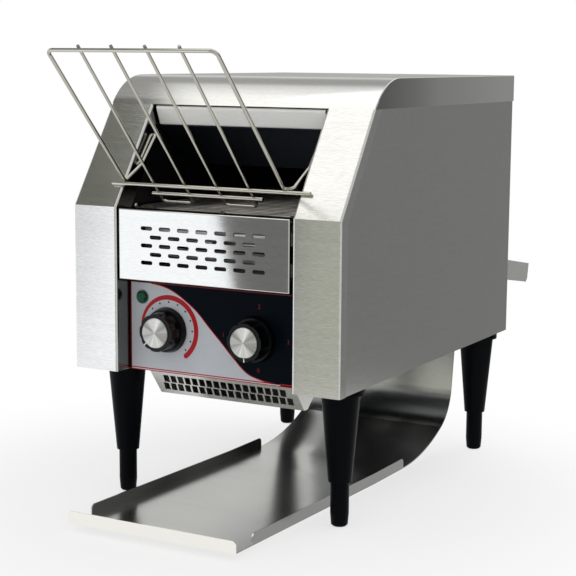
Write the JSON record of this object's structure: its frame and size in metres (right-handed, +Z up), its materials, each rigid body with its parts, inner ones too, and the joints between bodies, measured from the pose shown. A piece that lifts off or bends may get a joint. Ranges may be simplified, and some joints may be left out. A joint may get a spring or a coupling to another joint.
{
  "type": "conveyor toaster",
  "caption": "Countertop conveyor toaster: folded stainless casing on adjustable legs, wire loading rack, wire belt between quartz tubes, control panel with knobs, bent slide-out toast tray.",
  "frame": {"origin": "on the counter, below the middle of the whole object's box", "axes": "+X to the right of a person facing the controls, +Y to the rear, +Z up"},
  "size_m": [0.288, 0.5806, 0.4411],
  "materials": {
    "brushed_stainless": "brushed stainless sheet",
    "chamber_steel": "dark heat-stained sheet",
    "polished_steel": "bright rolled sheet",
    "reflector_sheet": "satin aluminised sheet",
    "galvanised_sheet": "plain galvanised sheet",
    "printed_panel": "satin print in pale grey and very dark blue",
    "bright_wire": "bright nickel-plated wire",
    "belt_wire": "heat-tinted stainless wire",
    "shaft_steel": "turned steel",
    "bush_bronze": "sintered bronze",
    "quartz": "frosted quartz with the wire inside it",
    "ceramic": "white glazed ceramic",
    "leg_plastic": "black moulded, slightly glossy",
    "knob_plastic": "black moulded",
    "spun_aluminium": "spun in circles",
    "lens_green": "clear green",
    "black_plastic": "black moulded",
    "switch_plastic": "brown moulded",
    "terminal_plastic": "cream moulded",
    "motor_metal": "grey die casting",
    "plated_fastener": "zinc plated"
  },
  "bodies": {
    "casing": {"base_pan": "galvanised_sheet", "chamber_floor": "galvanised_sheet", "control_bulkhead": "galvanised_sheet", "control_panel": "printed_panel", "conveyor_belt": "belt_wire", "cord_gland": "black_plastic", "entry_guide": "chamber_steel", "entry_rail": "polished_steel", "fan_frame": "black_plastic", "front_vent_cover": "brushed_stainless", "gear_motor": "motor_metal", "heater_end_caps": "ceramic", "heater_tubes": "quartz", "left_front_column": "brushed_stainless", "left_inner_wall": "chamber_steel", "left_side_panel": "brushed_stainless", "leg_front_left": "leg_plastic", "leg_front_right": "leg_plastic", "leg_nuts": "plated_fastener", "leg_rear_left": "leg_plastic", "leg_rear_right": "leg_plastic", "lower_reflector": "reflector_sheet", "lower_vent_grille": "brushed_stainless", "pilot_lamp_body": "black_plastic", "pilot_lens": "lens_green", "rear_deflector": "chamber_steel", "rear_panel": "brushed_stainless", "rear_panel_screws": "plated_fastener", "rear_spacers": "brushed_stainless", "right_front_column": "brushed_stainless", "right_inner_wall": "chamber_steel", "right_side_panel": "brushed_stainless", "selector_switch": "switch_plastic", "shaft_bushes": "bush_bronze", "speed_control": "black_plastic", "terminal_block": "terminal_plastic", "top_cap": "brushed_stainless", "upper_reflector": "reflector_sheet"},
    "speed_knob": {"speed_knob_grip": "knob_plastic", "speed_knob_cap": "spun_aluminium", "speed_spindle": "shaft_steel"},
    "selector_knob": {"selector_knob_grip": "knob_plastic", "selector_knob_cap": "spun_aluminium", "selector_spindle": "shaft_steel"},
    "front_left_foot": {"foot_front_left": "leg_plastic"},
    "front_right_foot": {"foot_front_right": "leg_plastic"},
    "rear_left_foot": {"foot_rear_left": "leg_plastic"},
    "rear_right_foot": {"foot_rear_right": "leg_plastic"},
    "tray": {"toast_tray": "brushed_stainless"},
    "loading_rack": {"rack_frame": "bright_wire", "rack_guide_wires": "bright_wire", "rack_long_rod": "bright_wire", "rack_short_rod": "bright_wire"},
    "front_conveyor_shaft": {"front_shaft": "shaft_steel", "front_belt_sprockets": "shaft_steel", "drive_coupling": "shaft_steel", "motor_output_shaft": "shaft_steel"},
    "rear_conveyor_shaft": {"rear_shaft": "shaft_steel", "rear_belt_sprockets": "shaft_steel"},
    "cooling_fan_rotor": {"fan_rotor": "black_plastic"}
  },
  "joints": [
    {"name": "speed_knob_turn", "type": "hinge", "parent": "casing", "child": "speed_knob", "pos_m": [-0.0515, -0.18676, 0.1737], "axis": [0, 1, 0], "range_deg": [0, 270]},
    {"name": "selector_knob_turn", "type": "hinge", "parent": "casing", "child": "selector_knob", "pos_m": [0.0453, -0.18676, 0.1737], "axis": [0, 1, 0], "range_deg": [0, 270]},
    {"name": "front_left_foot_screw", "type": "slide", "parent": "casing", "child": "front_left_foot", "axis": [0, 0, 1], "range_m": [0, 0.026]},
    {"name": "front_right_foot_screw", "type": "slide", "parent": "casing", "child": "front_right_foot", "axis": [0, 0, 1], "range_m": [0, 0.026]},
    {"name": "rear_left_foot_screw", "type": "slide", "parent": "casing", "child": "rear_left_foot", "axis": [0, 0, 1], "range_m": [0, 0.026]},
    {"name": "rear_right_foot_screw", "type": "slide", "parent": "casing", "child": "rear_right_foot", "axis": [0, 0, 1], "range_m": [0, 0.026]},
    {"name": "tray_pull", "type": "slide", "parent": "casing", "child": "tray", "axis": [0, -1, 0], "range_m": [0, 0.3]},
    {"name": "rack_lift", "type": "hinge", "parent": "casing", "child": "loading_rack", "pos_m": [0, -0.15148, 0.32944], "axis": [-1, 0, 0], "range_deg": [0, 75]},
    {"name": "front_shaft_spin", "type": "hinge", "parent": "casing", "child": "front_conveyor_shaft", "pos_m": [0, -0.14676, 0.2636], "axis": [-1, 0, 0], "continuous": true, "deforming": ["conveyor_belt"]},
    {"name": "rear_shaft_spin", "type": "hinge", "parent": "casing", "child": "rear_conveyor_shaft", "pos_m": [0, 0.12924, 0.2636], "axis": [-1, 0, 0], "continuous": true},
    {"name": "fan_spin", "type": "hinge", "parent": "casing", "child": "cooling_fan_rotor", "pos_m": [-0.03, -0.05476, 0.1332], "axis": [0, 0, 1], "continuous": true}
  ],
  "couplings": [
    {"joint": "rear_shaft_spin", "follows": "front_shaft_spin", "ratio": 1}
  ]
}
